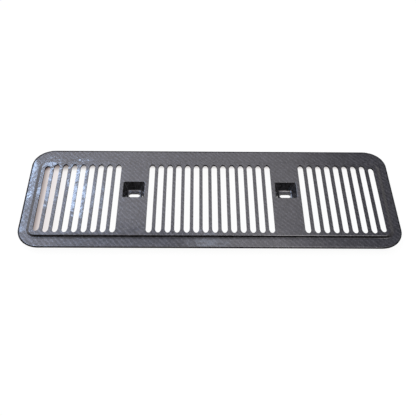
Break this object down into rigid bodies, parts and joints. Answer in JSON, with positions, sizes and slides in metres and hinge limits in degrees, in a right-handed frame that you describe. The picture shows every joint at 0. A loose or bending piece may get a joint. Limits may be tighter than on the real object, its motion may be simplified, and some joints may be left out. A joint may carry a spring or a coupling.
{
  "type": "car bonnet vent",
  "caption": "Flat rectangular bonnet vent moulding with round corners, a raised panel of narrow air slots between solid webs, and a sunk pocket with a slotted fixing hole in each web.",
  "frame": {"origin": "midway between the two fixing slots, on the underside of the pocket floors, where the part clamps down on its brackets", "axes": "+X across the car along the vent's length, +Y towards the windscreen, +Z out of the bonnet"},
  "size_m": [0.5, 0.177, 0.0145],
  "materials": {
    "carbon_laminate": "woven carbon fibre in a clear gloss coat"
  },
  "bodies": {
    "root": {"bonnet_vent": "carbon_laminate"}
  },
  "joints": []
}
